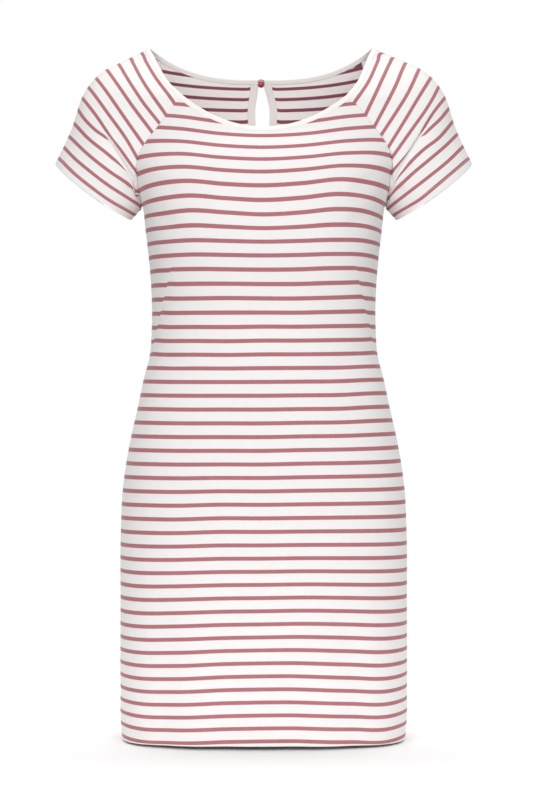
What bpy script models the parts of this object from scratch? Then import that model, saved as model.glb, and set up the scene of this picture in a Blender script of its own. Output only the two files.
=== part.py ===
# A jersey shift dress with short raglan sleeves, filled out and hanging with nobody in it.
# Every piece is an open, hollow cloth wall. Metres, +Z up, and the front faces -Y.
# The origin lies midway between the wearer's shoulders, within 2 mm of the neck edge's highest points.

import math
from collections import namedtuple

import bmesh
import bpy
import numpy as np

CLOTH = 0.0012
SEAM_GAP = 0.0003

# Heights of the hem and of the corners of the raglan seams
HEM_HEIGHT = -0.8665
FRONT_HEM_RISE = 0.003
HEM_RISE_FADES_OVER = 0.10
UNDERARM_HEIGHT = -0.198
FRONT_RAGLAN_TOP = -0.0676
BACK_RAGLAN_TOP = -0.0062

# The neck edge dips between the raglan seams, and its top leans a little to one side
FRONT_NECK_DIP = 0.0404
FRONT_NECK_CURVE = 2.05
FRONT_DIP_START = -0.26
BACK_NECK_DIP = 0.0243
BACK_NECK_CURVE = 3.0
BACK_DIP_START = -0.198
NECK_LEAN = 0.0034
LEAN_START = -0.070
LEAN_FULL = -0.005

# The binding round the neck edge
BINDING_WIDTH = 0.006
BINDING_THICKNESS = 0.002
BINDING_PROUD = 0.0004

# The teardrop keyhole below the binding, its facing, and the button with its loop
KEYHOLE_TOP = -0.0361
KEYHOLE_LENGTH = 0.075
KEYHOLE_TOP_HALF_WIDTH = 0.0047
KEYHOLE_HALF_WIDTH = 0.0104
KEYHOLE_WIDENS_OVER = 0.034
KEYHOLE_ROUNDNESS = 5.0
KEYHOLE_OFFSET = -0.0018
FACING_WIDTH = 0.008
FACING_THICKNESS = 0.001
FACING_SETBACK = 0.0005
FACING_GAP = 0.0004
BUTTON_RADIUS = 0.0044
LOOP_RADIUS = 0.0008
LOOP_OPEN_ANGLE = math.radians(28)
LOOP_TAIL = 0.0035

# How finely each piece is divided
PANEL_COLUMNS = 26
SKIRT_ROWS = 18
FRONT_YOKE_ROWS = 11
BACK_YOKE_ROWS = 6
SHOULDER_COLUMNS = 12
SLEEVE_ROWS = 14
KEYHOLE_ROWS = (0.0, 0.15, 0.30, 0.44, 0.58, 0.71, 0.83, 0.92, 0.975, 1.0)
CURVE_SAMPLES = 401
FOLD_SAMPLES = 25
LOOP_SAMPLES = 22

# Points nearer than this are one point of the cloth
JOIN_WITHIN = 0.00002

# Edges sharper than this are shaded as edges
SMOOTH_ANGLE = math.radians(40)

# Two walls share one direction at a seam where the cosine between them is over this, and the walls
# there are stretched at most this much to keep their thickness
SEAM_BENDS_LITTLE = 0.5
MITRE_LIMIT = 1.2

# Level sections of the body from the hem to the neck. Above the underarm they carry the depth of the
# chest and back out to where the raglan seams cross them.
BODY_COLUMNS = ("height", "half_width", "front_depth", "back_depth", "squareness")
BODY_SECTIONS = (
    (-0.870, 0.1770, 0.1170, 0.1115, 2.80),
    (-0.849, 0.1792, 0.1180, 0.1120, 2.80),
    (-0.800, 0.1798, 0.1180, 0.1125, 2.80),
    (-0.700, 0.1798, 0.1180, 0.1150, 2.70),
    (-0.607, 0.1795, 0.1175, 0.1175, 2.60),
    (-0.554, 0.1770, 0.1160, 0.1180, 2.55),
    (-0.501, 0.1691, 0.1130, 0.1140, 2.50),
    (-0.448, 0.1574, 0.1070, 0.1030, 2.50),
    (-0.418, 0.1511, 0.1030, 0.0950, 2.50),
    (-0.388, 0.1436, 0.1000, 0.0880, 2.40),
    (-0.349, 0.1408, 0.1000, 0.0835, 2.40),
    (-0.297, 0.1417, 0.1090, 0.0860, 2.50),
    (-0.267, 0.1442, 0.1160, 0.0900, 2.60),
    (-0.229, 0.1486, 0.1210, 0.0955, 2.60),
    (-0.198, 0.1527, 0.1205, 0.0990, 2.50),
    (-0.188, 0.1560, 0.1190, 0.1000, 2.45),
    (-0.175, 0.1600, 0.1165, 0.1010, 2.40),
    (-0.160, 0.1660, 0.1120, 0.1015, 2.35),
    (-0.149, 0.1710, 0.1075, 0.1015, 2.30),
    (-0.130, 0.1750, 0.0975, 0.1000, 2.25),
    (-0.108, 0.1740, 0.0850, 0.0960, 2.20),
    (-0.068, 0.1650, 0.0775, 0.0850, 2.20),
    (-0.030, 0.1600, 0.0640, 0.0660, 2.20),
    (0.000, 0.1580, 0.0500, 0.0500, 2.20),
)

# How far from the middle each raglan seam lies, by height
RAGLAN_COLUMNS = ("height", "half_width")
FRONT_RAGLAN = (
    (-0.198, 0.1527),
    (-0.188, 0.1552),
    (-0.168, 0.1570),
    (-0.149, 0.1573),
    (-0.130, 0.1500),
    (-0.1085, 0.1338),
    (-0.093, 0.1213),
    (-0.0787, 0.1105),
    (-0.0676, 0.0994),
)
BACK_RAGLAN = (
    (-0.198, 0.1527),
    (-0.186, 0.1550),
    (-0.160, 0.1560),
    (-0.130, 0.1530),
    (-0.090, 0.1450),
    (-0.050, 0.1360),
    (-0.0062, 0.1270),
)

# The neck edge over one shoulder, between the front and back raglan seams: across, depth, height
SHOULDER_NECK = (
    (0.1169, -0.0470, -0.0482),
    (0.1267, -0.0290, -0.0292),
    (0.1340, -0.0120, -0.0125),
    (0.1405, 0.0040, 0.0010),
    (0.1370, 0.0200, 0.0000),
)

# Slanting rings along a sleeve, from near the seam to the cuff. Each runs from its outer point to its
# inner one under the arm; droop slides its front further down the arm than its back.
SleeveRing = namedtuple("SleeveRing", "share outer_x outer_z inner_x inner_z half_depth droop")
SLEEVE_RINGS = (
    SleeveRing(0.30, 0.1995, -0.0278, 0.1545, -0.2015, 0.058, 0.000),
    SleeveRing(0.50, 0.2242, -0.0538, 0.1570, -0.2050, 0.056, 0.003),
    SleeveRing(0.75, 0.2418, -0.1025, 0.1615, -0.2105, 0.052, 0.005),
    SleeveRing(1.00, 0.2618, -0.1450, 0.1672, -0.2157, 0.048, 0.008),
)

# The drag folds that run down each sleeve to the underarm. hand is -1 on the left and 1 on the right,
# side is -1 on the front and 1 on the back, and the fold's line is a curve that leans to its bend point.
Fold = namedtuple("Fold", "hand side start_x start_z bend_x bend_z end_x end_z depth half_width")
SLEEVE_FOLDS = (
    Fold(-1, -1, 0.2151, -0.0768, 0.1765, -0.1430, 0.1531, -0.1895, 0.0060, 0.0090),
    Fold(-1, -1, 0.1841, -0.1610, 0.1660, -0.1780, 0.1531, -0.1907, 0.0035, 0.0070),
    Fold(-1, 1, 0.2050, -0.0900, 0.1800, -0.1500, 0.1560, -0.1900, 0.0050, 0.0100),
    Fold(1, -1, 0.2185, -0.0750, 0.1780, -0.1410, 0.1520, -0.1930, 0.0060, 0.0090),
    Fold(1, -1, 0.1900, -0.1640, 0.1700, -0.1800, 0.1540, -0.1930, 0.0030, 0.0070),
    Fold(1, 1, 0.2100, -0.0850, 0.1750, -0.1450, 0.1550, -0.1920, 0.0050, 0.0100),
)

# They fade out over this share of the sleeve's length from the raglan seam
FOLD_CLEAR_OF_SEAM = 0.2

STRIPED_CLOTH = (0.86, 0.72, 0.72)
WHITE_CLOTH = (0.93, 0.91, 0.90)
RED_GLOSS = (0.52, 0.06, 0.09)


def columns_of(names, rows):
    values = np.array(rows)
    return {name: values[:, place] for place, name in enumerate(names)}


def smooth_between(knots, values, wanted):
    """Cubic curve through the values at ascending knots, read at the wanted places."""
    slopes = np.gradient(values, knots, axis=0)
    place = np.clip(np.searchsorted(knots, wanted, side="right") - 1, 0, len(knots) - 2)
    span = knots[place + 1] - knots[place]
    share = (wanted - knots[place]) / span
    if values.ndim > 1:
        share = share[:, None]
        span = span[:, None]
    start = values[place] * (1 + 2 * share) + slopes[place] * span * share
    end = values[place + 1] * (3 - 2 * share) - slopes[place + 1] * span * (1 - share)
    return start * (1 - share) ** 2 + end * share ** 2


def ease(share):
    share = np.clip(share, 0.0, 1.0)
    return share * share * (3 - 2 * share)


BODY = columns_of(BODY_COLUMNS, BODY_SECTIONS)


def body_size(column, height):
    return smooth_between(BODY["height"], BODY[column], height)


def body_depth(across, height, side):
    """How far the body stands from the middle plane: side is front_depth or back_depth."""
    squareness = body_size("squareness", height)
    share = np.clip(np.abs(across) / body_size("half_width", height), 0.0, 1.0)
    return body_size(side, height) * (1 - share ** squareness) ** (1 / squareness)


def even_row(height, reach, side, count):
    """Places across a level section, evenly spaced along the cloth from one seam to the other."""
    power = 2 / body_size("squareness", height)
    half_width = body_size("half_width", height)
    last_turn = math.asin(min(1.0, (reach / half_width) ** (1 / power)))
    turn = np.linspace(-last_turn, last_turn, CURVE_SAMPLES)
    across = half_width * np.sign(turn) * np.abs(np.sin(turn)) ** power
    depth = body_size(side, height) * np.abs(np.cos(turn)) ** power
    length = np.append(0.0, np.cumsum(np.hypot(np.diff(across), np.diff(depth))))
    return np.interp(np.linspace(0.0, length[-1], count), length, across)


def lean(points):
    """Shift the top of the dress sideways, as it hangs."""
    shifted = np.array(points)
    share = ease((shifted[..., 2] - LEAN_START) / (LEAN_FULL - LEAN_START))
    shifted[..., 0] -= NECK_LEAN * share
    return shifted


def front_dip(side_height):
    share = (side_height - FRONT_DIP_START) / (FRONT_RAGLAN_TOP - FRONT_DIP_START)
    return FRONT_NECK_DIP * ease(share)


def back_dip(side_height):
    share = (side_height - BACK_DIP_START) / (BACK_RAGLAN_TOP - BACK_DIP_START)
    return BACK_NECK_DIP * ease(share)


def seam_reach(side_height, raglan):
    """Half the width of a panel: out to the side seam, and above the underarm to the raglan seam."""
    if side_height <= UNDERARM_HEIGHT:
        return body_size("half_width", side_height)
    return smooth_between(raglan["height"], raglan["half_width"], side_height)


def front_grid():
    """Rows of the front panel, from the hem to the free neck edge."""
    raglan = columns_of(RAGLAN_COLUMNS, FRONT_RAGLAN)
    skirt = np.linspace(HEM_HEIGHT, UNDERARM_HEIGHT, SKIRT_ROWS + 1)
    yoke = np.linspace(UNDERARM_HEIGHT, FRONT_RAGLAN_TOP, FRONT_YOKE_ROWS + 1)
    rows = []
    for side_height in np.append(skirt, yoke[1:]):
        reach = seam_reach(side_height, raglan)
        across = even_row(side_height, reach, "front_depth", PANEL_COLUMNS + 1)
        share = np.abs(across) / reach
        height = side_height - front_dip(side_height) * (1 - share ** FRONT_NECK_CURVE)
        hem_share = ease(1 - (side_height - HEM_HEIGHT) / HEM_RISE_FADES_OVER)
        height = height + FRONT_HEM_RISE * hem_share * (1 - share ** 2)
        depth = -body_depth(across, height, "front_depth")
        depth[[0, -1]] = -body_depth(reach, side_height, "front_depth")
        rows.append(np.stack((across, depth, height), axis=1))
    return lean(rows)


def keyhole_middle(height):
    return KEYHOLE_OFFSET * ease((height - BACK_DIP_START) / KEYHOLE_LENGTH)


def keyhole_half_width(height):
    down = KEYHOLE_TOP - height
    widened = ease(down / KEYHOLE_WIDENS_OVER)
    half_width = KEYHOLE_TOP_HALF_WIDTH + (KEYHOLE_HALF_WIDTH - KEYHOLE_TOP_HALF_WIDTH) * widened
    closed = np.clip(down / KEYHOLE_LENGTH, 0.0, 1.0) ** KEYHOLE_ROUNDNESS
    return half_width * np.sqrt(1 - closed)


def back_side_heights():
    """Side heights of the back rows. The rows at the middle of the back keep step with the keyhole."""
    middle = [KEYHOLE_TOP - KEYHOLE_LENGTH * share for share in reversed(KEYHOLE_ROWS)]
    middle.append(BACK_RAGLAN_TOP - BACK_NECK_DIP)
    tried = np.linspace(UNDERARM_HEIGHT, BACK_RAGLAN_TOP, CURVE_SAMPLES)
    beside_keyhole = np.interp(middle, tried - back_dip(tried), tried)
    skirt = np.linspace(HEM_HEIGHT, UNDERARM_HEIGHT, SKIRT_ROWS + 1)
    yoke = np.linspace(UNDERARM_HEIGHT, beside_keyhole[0], BACK_YOKE_ROWS + 1)
    return np.concatenate((skirt, yoke[1:], beside_keyhole[1:]))


def back_grid(hand):
    """Rows of one half of the back panel, from its seam to the middle or the keyhole's edge."""
    raglan = columns_of(RAGLAN_COLUMNS, BACK_RAGLAN)
    rows = []
    for side_height in back_side_heights():
        reach = seam_reach(side_height, raglan)
        across = even_row(side_height, reach, "back_depth", PANEL_COLUMNS + 1)
        across = -hand * across[: PANEL_COLUMNS // 2 + 1]
        middle_height = side_height - back_dip(side_height)
        edge = keyhole_middle(middle_height) + hand * keyhole_half_width(middle_height)
        across = hand * reach + (across - hand * reach) * (edge - hand * reach) / (-hand * reach)
        share = np.abs(across) / reach
        height = side_height - back_dip(side_height) * (1 - share ** BACK_NECK_CURVE)
        depth = body_depth(across, height, "back_depth")
        depth[0] = body_depth(reach, side_height, "back_depth")
        rows.append(np.stack((across, depth, height), axis=1))
    return lean(rows)


def shoulder_edge(front_corner, back_corner, hand):
    """The free neck edge over one shoulder, between the corners of the two panels."""
    shoulder = np.array(SHOULDER_NECK)
    shoulder[:, 0] *= hand
    knots = np.vstack((front_corner, lean(shoulder), back_corner))
    length = np.append(0.0, np.cumsum(np.linalg.norm(np.diff(knots, axis=0), axis=1)))
    return smooth_between(length, knots, np.linspace(0.0, length[-1], SHOULDER_COLUMNS + 1))


def ring_points(ring, round_share, hand):
    """Points round a sleeve ring; the share runs from under the arm, by the front, over the top."""
    outer = np.array((ring.outer_x * hand, 0.0, ring.outer_z))
    inner = np.array((ring.inner_x * hand, 0.0, ring.inner_z))
    middle = (outer + inner) / 2
    down = (inner - outer) / np.linalg.norm(inner - outer)
    along_arm = np.array((-down[2] * hand, 0.0, down[0] * hand))
    turn = 2 * math.pi * round_share[:, None]
    depth = np.array((0.0, -ring.half_depth, 0.0)) + ring.droop * along_arm
    return middle + (inner - middle) * np.cos(turn) + depth * np.sin(turn)


def sleeve_grid(front, back, hand):
    """Rows of a sleeve from its raglan seam and neck edge to the cuff, round from the underarm."""
    edge_column = 0 if hand < 0 else -1
    front_seam = front[SKIRT_ROWS:, edge_column]
    back_seam = back[SKIRT_ROWS:, 0][::-1]
    over_shoulder = shoulder_edge(front_seam[-1], back_seam[0], hand)
    loop = np.vstack((front_seam[:-1], over_shoulder, back_seam[1:]))
    length = np.append(0.0, np.cumsum(np.linalg.norm(np.diff(loop, axis=0), axis=1)))
    round_share = length / length[-1]
    rings = [loop] + [ring_points(ring, round_share, hand) for ring in SLEEVE_RINGS]
    knots = np.array([0.0] + [ring.share for ring in SLEEVE_RINGS])
    flat_rings = np.array(rings).reshape(len(rings), -1)
    rows = smooth_between(knots, flat_rings, np.linspace(0.0, 1.0, SLEEVE_ROWS + 1))
    return fold_sleeve(rows.reshape(SLEEVE_ROWS + 1, -1, 3), hand)


def fold_sleeve(grid, hand):
    """Press the sleeve's folds into its cloth, as soft troughs along their lines."""
    inward = inward_normals(grid, True, grid.mean(axis=1, keepdims=True))
    clear_of_seam = ease(np.linspace(0.0, 1.0, len(grid)) / FOLD_CLEAR_OF_SEAM)[:, None]
    folded = grid.copy()
    for fold in SLEEVE_FOLDS:
        if fold.hand != hand:
            continue
        share = np.linspace(0.0, 1.0, FOLD_SAMPLES)[:, None]
        start = np.array((fold.start_x * hand, fold.start_z))
        bend = np.array((fold.bend_x * hand, fold.bend_z))
        end = np.array((fold.end_x * hand, fold.end_z))
        line = start * (1 - share) ** 2 + bend * 2 * share * (1 - share) + end * share ** 2
        apart = np.linalg.norm(grid[:, :, None, [0, 2]] - line, axis=3)
        grown = ease(share[apart.argmin(axis=2), 0] * 2)
        near = np.exp(-((apart.min(axis=2) / fold.half_width) ** 2))
        on_side = grid[:, :, 1] * fold.side > 0
        depth = fold.depth * near * grown * on_side * clear_of_seam
        folded += inward * depth[:, :, None]
    return folded


def step_in(grid, distance, row=0, next_row=1):
    """A row moved from its place towards the next one by a distance along the cloth."""
    way = grid[next_row] - grid[row]
    size = np.linalg.norm(way, axis=1, keepdims=True)
    return grid[row] + way / np.maximum(size, 1e-9) * distance


def inward_normals(grid, closed_round, towards):
    """Unit vectors square to a grid of points, on the side of the given points."""
    if closed_round:
        ring = grid[:, :-1]
        along = np.roll(ring, -1, axis=1) - np.roll(ring, 1, axis=1)
        along = np.concatenate((along, along[:, :1]), axis=1)
    else:
        along = np.gradient(grid, axis=1)
    normals = np.cross(along, np.gradient(grid, axis=0))
    normals /= np.maximum(np.linalg.norm(normals, axis=2, keepdims=True), 1e-12)
    facing = np.sum(normals * (towards - grid))
    return -normals if facing < 0 else normals


def share_normals(panel_normals, sleeve_normals):
    """Give two pieces one direction at their seam wherever they bend little, so they cannot meet."""
    both = panel_normals + sleeve_normals
    size = np.linalg.norm(both, axis=1, keepdims=True)
    near = np.sum(panel_normals * sleeve_normals, axis=1, keepdims=True) > SEAM_BENDS_LITTLE
    shared = both / np.maximum(size, 1e-9) * np.minimum(2 / np.maximum(size, 1e-9), MITRE_LIMIT)
    return np.where(near, shared, panel_normals), np.where(near, shared, sleeve_normals)


def material(name, colour, roughness):
    surface = bpy.data.materials.new(name)
    surface.use_nodes = True
    shader = surface.node_tree.nodes["Principled BSDF"]
    shader.inputs["Base Color"].default_value = (*colour, 1.0)
    shader.inputs["Roughness"].default_value = roughness
    shader.inputs["Metallic"].default_value = 0.0
    return surface


def add_object(name, mesh, surface, collection):
    mesh.materials.append(surface)
    mesh.shade_smooth()
    mesh.set_sharp_from_angle(angle=SMOOTH_ANGLE)
    piece = bpy.data.objects.new(name, mesh)
    collection.objects.link(piece)
    return piece


def add_wall(name, patches, thickness, surface, collection):
    """A cloth wall: grids of outer points, joined where they touch, thickened along their vectors."""
    shape = bmesh.new()
    inward_layer = shape.verts.layers.float_vector.new("inward")
    for points, inward in patches:
        rows, columns = points.shape[:2]
        grid = bmesh.ops.create_grid(shape, x_segments=columns - 1, y_segments=rows - 1, size=1.0)
        for vertex in grid["verts"]:
            column = round((vertex.co.x + 1) / 2 * (columns - 1))
            row = round((vertex.co.y + 1) / 2 * (rows - 1))
            vertex[inward_layer] = inward[row, column] * thickness
            vertex.co = points[row, column]
    bmesh.ops.remove_doubles(shape, verts=shape.verts, dist=JOIN_WITHIN)
    inner = bmesh.ops.extrude_face_region(shape, geom=shape.faces, use_keep_orig=True)
    for piece in inner["geom"]:
        if isinstance(piece, bmesh.types.BMVert):
            piece.co += piece[inward_layer]
    bmesh.ops.recalc_face_normals(shape, faces=shape.faces)
    mesh = bpy.data.meshes.new(name)
    shape.to_mesh(mesh)
    shape.free()
    return add_object(name, mesh, surface, collection)


def panel_patch(grid, towards_axis):
    """A panel's outer points without the strip that the binding takes, and its inward vectors."""
    points = grid.copy()
    points[-1] = step_in(grid, BINDING_WIDTH + SEAM_GAP, -1, -2)
    return points, inward_normals(points, False, towards_axis)


def axis_beside(grid):
    """Points on the dress's upright middle line, level with the grid."""
    return grid * np.array((0.0, 0.0, 1.0))


def square_side_seam(inward, column):
    """Keep the walls' side seam faces level with each other, so front and back stay apart."""
    seam = inward[: SKIRT_ROWS + 1, column]
    seam[:, 1] = 0.0
    seam /= np.linalg.norm(seam, axis=1, keepdims=True)


def sleeve_patch(grid, front_corner, back_corner):
    """A sleeve's outer points, a seam's width off the panels and clear of the binding's strip."""
    first_neck = FRONT_YOKE_ROWS
    last_neck = FRONT_YOKE_ROWS + SHOULDER_COLUMNS
    points = grid.copy()
    points[0] = step_in(grid, SEAM_GAP)
    points[0, first_neck:last_neck + 1] = step_in(grid, BINDING_WIDTH + SEAM_GAP)[first_neck:last_neck + 1]
    for column, corner in ((first_neck, front_corner), (last_neck, back_corner)):
        way = grid[1, column] - corner
        points[0, column] = corner + way / np.linalg.norm(way) * SEAM_GAP
    return points, inward_normals(points, True, grid.mean(axis=1, keepdims=True))


def join_sleeve(front, back, sleeve, front_column):
    """Match the wall directions of a sleeve and the two panels along the raglan seams."""
    front_inward = front[1]
    back_inward = back[1]
    sleeve_inward = sleeve[1]
    front_rows = slice(SKIRT_ROWS + 1, None)
    front_columns = slice(1, FRONT_YOKE_ROWS + 1)
    shared = share_normals(front_inward[front_rows, front_column], sleeve_inward[0, front_columns])
    front_inward[front_rows, front_column], sleeve_inward[0, front_columns] = shared
    back_columns = slice(FRONT_YOKE_ROWS + SHOULDER_COLUMNS, -1)
    shared = share_normals(back_inward[front_rows, 0][::-1], sleeve_inward[0, back_columns])
    back_inward[front_rows, 0] = shared[0][::-1]
    sleeve_inward[0, back_columns] = shared[1]


def binding_patch(front, backs, sleeves):
    """The binding's strip: left back, left sleeve, front, right sleeve and right back."""
    neck = slice(FRONT_YOKE_ROWS + 1, FRONT_YOKE_ROWS + SHOULDER_COLUMNS)
    columns = []
    for share in (1.0, 0.5, 0.0):
        width = BINDING_WIDTH * share
        left_back = step_in(backs[0], width, -1, -2)[::-1]
        left_sleeve = step_in(sleeves[0], width)[neck][::-1]
        across_front = step_in(front, width, -1, -2)
        right_sleeve = step_in(sleeves[1], width)[neck]
        right_back = step_in(backs[1], width, -1, -2)
        columns.append(np.vstack((left_back, left_sleeve, across_front, right_sleeve, right_back)))
    strip = np.array(columns)
    inward = inward_normals(strip, False, np.array((0.0, 0.0, UNDERARM_HEIGHT)))
    return strip - inward * BINDING_PROUD, inward


def facing_patch():
    """The facing's strip round the keyhole, laid inside the back panel."""
    height = KEYHOLE_TOP - KEYHOLE_LENGTH * np.array(KEYHOLE_ROWS)
    half_width = keyhole_half_width(height)
    left = np.stack((keyhole_middle(height) - half_width, height), axis=1)
    right = np.stack((keyhole_middle(height) + half_width, height), axis=1)[::-1]
    path = np.vstack((left, right[1:]))
    way = np.gradient(path, axis=0)
    away = np.stack((way[:, 1], -way[:, 0]), axis=1)
    away /= np.linalg.norm(away, axis=1, keepdims=True)
    rows = []
    for distance in (FACING_SETBACK, FACING_SETBACK + FACING_WIDTH):
        place = path + away * distance
        level = np.minimum(place[:, 1], KEYHOLE_TOP - 2 * SEAM_GAP)
        depth = body_depth(place[:, 0], level, "back_depth")
        rows.append(np.stack((place[:, 0], depth, level), axis=1))
    strip = lean(rows)
    inward = inward_normals(strip, False, axis_beside(strip))
    return strip + inward * (CLOTH + FACING_GAP), inward


def button_place():
    """The button's centre, level with the binding's lower edge and in the middle of the cloth."""
    across = keyhole_middle(KEYHOLE_TOP)
    depth = body_depth(across, KEYHOLE_TOP, "back_depth") - CLOTH / 2
    return lean((across, depth, KEYHOLE_TOP))


def add_button(surface, collection):
    shape = bmesh.new()
    bmesh.ops.create_uvsphere(shape, u_segments=16, v_segments=10, radius=BUTTON_RADIUS)
    mesh = bpy.data.meshes.new("button")
    shape.to_mesh(mesh)
    shape.free()
    button = add_object("button", mesh, surface, collection)
    button.location = button_place()


def add_loop(surface, collection):
    """A cord that lies on the back of one binding end and passes round behind the button."""
    below = KEYHOLE_TOP - BUTTON_RADIUS
    slope = body_depth(0.0, below, "back_depth") - body_depth(0.0, KEYHOLE_TOP, "back_depth")
    up = np.array((0.0, -slope, BUTTON_RADIUS))
    up /= np.linalg.norm(up)
    out = np.array((0.0, up[2], -up[1]))
    clear = SEAM_GAP + LOOP_RADIUS
    lift = CLOTH / 2 + BINDING_PROUD + clear
    radius = math.sqrt((BUTTON_RADIUS + clear) ** 2 - lift ** 2)
    middle = button_place() + out * lift
    turns = np.linspace(math.pi - LOOP_OPEN_ANGLE, LOOP_OPEN_ANGLE - math.pi, LOOP_SAMPLES)
    points = [middle + radius * (np.array((math.cos(turn), 0, 0)) + up * math.sin(turn)) for turn in turns]
    tail = np.array((-LOOP_TAIL, 0.0, 0.0))
    points = [points[0] + tail] + points + [points[-1] + tail]
    curve = bpy.data.curves.new("button_loop", "CURVE")
    curve.dimensions = "3D"
    curve.bevel_depth = LOOP_RADIUS
    curve.bevel_resolution = 2
    curve.use_fill_caps = True
    spline = curve.splines.new("POLY")
    spline.points.add(len(points) - 1)
    for point, place in zip(spline.points, points):
        point.co = (*place, 1.0)
    curve.materials.append(surface)
    loop = bpy.data.objects.new("button_loop", curve)
    collection.objects.link(loop)


def build():
    for old in list(bpy.data.objects):
        bpy.data.objects.remove(old)
    dress = bpy.data.collections.new("shift_dress")
    bpy.context.scene.collection.children.link(dress)
    striped = material("striped_jersey", STRIPED_CLOTH, 0.9)
    white = material("white_jersey", WHITE_CLOTH, 0.9)
    red = material("red_button", RED_GLOSS, 0.25)

    front = front_grid()
    backs = (back_grid(-1), back_grid(1))
    sleeves = (sleeve_grid(front, backs[0], -1), sleeve_grid(front, backs[1], 1))

    front_patch = panel_patch(front, axis_beside(front))
    back_patches = [panel_patch(back, axis_beside(back)) for back in backs]
    sleeve_patches = []
    for side, front_column in ((0, 0), (1, -1)):
        front_corner = front_patch[0][-1, front_column]
        back_corner = back_patches[side][0][-1, 0]
        sleeve_patches.append(sleeve_patch(sleeves[side], front_corner, back_corner))
        join_sleeve(front_patch, back_patches[side], sleeve_patches[side], front_column)
        square_side_seam(front_patch[1], front_column)
        square_side_seam(back_patches[side][1], 0)
    front_patch[0][:, :, 1] -= SEAM_GAP / 2
    for points, _ in back_patches:
        points[:, :, 1] += SEAM_GAP / 2

    add_wall("front_panel", [front_patch], CLOTH, striped, dress)
    add_wall("back_panel", back_patches, CLOTH, striped, dress)
    add_wall("left_sleeve", sleeve_patches[:1], CLOTH, striped, dress)
    add_wall("right_sleeve", sleeve_patches[1:], CLOTH, striped, dress)
    add_wall("neck_binding", [binding_patch(front, backs, sleeves)], BINDING_THICKNESS, white, dress)
    add_wall("keyhole_facing", [facing_patch()], FACING_THICKNESS, white, dress)
    add_button(red, dress)
    add_loop(white, dress)


build()
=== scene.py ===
# A striped jersey shift dress with raglan sleeves, filled out and hanging with nobody in it
import math

import bmesh
import bpy
import numpy as np
from mathutils import Matrix, Vector


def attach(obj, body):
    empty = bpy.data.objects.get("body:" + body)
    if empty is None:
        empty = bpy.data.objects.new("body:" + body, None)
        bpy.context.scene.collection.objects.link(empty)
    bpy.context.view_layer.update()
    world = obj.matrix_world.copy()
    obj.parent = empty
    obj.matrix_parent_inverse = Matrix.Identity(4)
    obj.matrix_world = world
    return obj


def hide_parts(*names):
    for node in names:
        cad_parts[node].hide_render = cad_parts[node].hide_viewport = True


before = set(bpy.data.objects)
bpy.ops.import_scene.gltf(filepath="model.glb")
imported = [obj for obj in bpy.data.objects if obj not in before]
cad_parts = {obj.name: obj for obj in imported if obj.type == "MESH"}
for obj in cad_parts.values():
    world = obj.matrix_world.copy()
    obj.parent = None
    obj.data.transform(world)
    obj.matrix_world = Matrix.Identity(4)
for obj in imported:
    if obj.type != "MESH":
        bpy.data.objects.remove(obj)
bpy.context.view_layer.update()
print("loaded the solids of the dress")

# The camera looks level at the front, and its lens frames the dress from neck to floor
photoView = {
    "place": (0.0035, -3.0, -0.4433),
    "lens": 107.1,
    "sensorHeight": 36.0,
}
cameraData = bpy.data.cameras.new("photoCamera")
cameraData.sensor_fit = "VERTICAL"
cameraData.sensor_height = photoView["sensorHeight"]
cameraData.lens = photoView["lens"]
camera = bpy.data.objects.new("photoCamera", cameraData)
camera.location = photoView["place"]
camera.rotation_euler = (math.pi / 2, 0, 0)
bpy.context.scene.collection.objects.link(camera)
bpy.context.scene.camera = camera

# The body's form. Lengths are in metres, unless a table says otherwise.
bodyForm = {
    "hem": -0.8665,
    "hemRise": 0.003,  # the front hem is this much higher in the middle
    "hemRiseOver": 0.10,
    "underarm": -0.198,
    "lean": 0.0034,  # how far the top hangs over to the left
    "leanFrom": -0.070,
    "leanTo": -0.005,
}
# Level sections, in millimetres: height, half width, front depth, back depth; squareness
bodySections = np.array((
    (-870, 177, 117, 111.5, 2.8),
    (-849, 179.2, 118, 112, 2.8),
    (-800, 179.8, 118, 112.5, 2.8),
    (-700, 179.8, 118, 115, 2.7),
    (-607, 179.5, 117.5, 117.5, 2.6),
    (-554, 177, 116, 118, 2.55),
    (-501, 169.1, 113, 114, 2.5),
    (-448, 157.4, 107, 103, 2.5),
    (-418, 151.1, 103, 95, 2.5),
    (-388, 143.6, 100, 88, 2.4),
    (-349, 140.8, 100, 83.5, 2.4),
    (-297, 141.7, 109, 86, 2.5),
    (-267, 144.2, 116, 90, 2.6),
    (-229, 148.6, 121, 95.5, 2.6),
    (-198, 152.7, 120.5, 99, 2.5),
    (-188, 156, 119, 100, 2.45),
    (-175, 160, 116.5, 101, 2.4),
    (-160, 166, 112, 101.5, 2.35),
    (-149, 171, 107.5, 101.5, 2.3),
    (-130, 175, 97.5, 100, 2.25),
    (-108, 174, 85, 96, 2.2),
    (-68, 165, 77.5, 85, 2.2),
    (-30, 160, 64, 66, 2.2),
    (0, 158, 50, 50, 2.2),
)) / (1000, 1000, 1000, 1000, 1)
body = dict(zip(("height", "halfWidth", "front", "back", "squareness"), bodySections.T))

# How far from the middle the raglan seams lie, in millimetres: height, on the left, on the right
raglanSeams = {
    "front": np.array((
        (-198, 152.7, 152.7),
        (-188, 155.2, 155.2),
        (-168, 157, 157.5),
        (-149, 157.3, 160),
        (-130, 150, 154.5),
        (-108.5, 133.8, 139.5),
        (-93, 121.3, 127.5),
        (-78.7, 110.5, 115),
        (-67.6, 99.4, 101.5),
    )) / 1000,
    "back": np.array((
        (-198, 152.7),
        (-186, 155),
        (-160, 156),
        (-130, 153),
        (-90, 145),
        (-50, 136),
        (-6.2, 127),
    )) / 1000,
}

# The neck edge's dip between the raglan seams
neckDip = {
    "front": {"depth": 0.0404, "curve": 2.05, "from": -0.26, "top": -0.0676},
    "back": {"depth": 0.0243, "curve": 3.0, "from": -0.198, "top": -0.0062},
}

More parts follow.
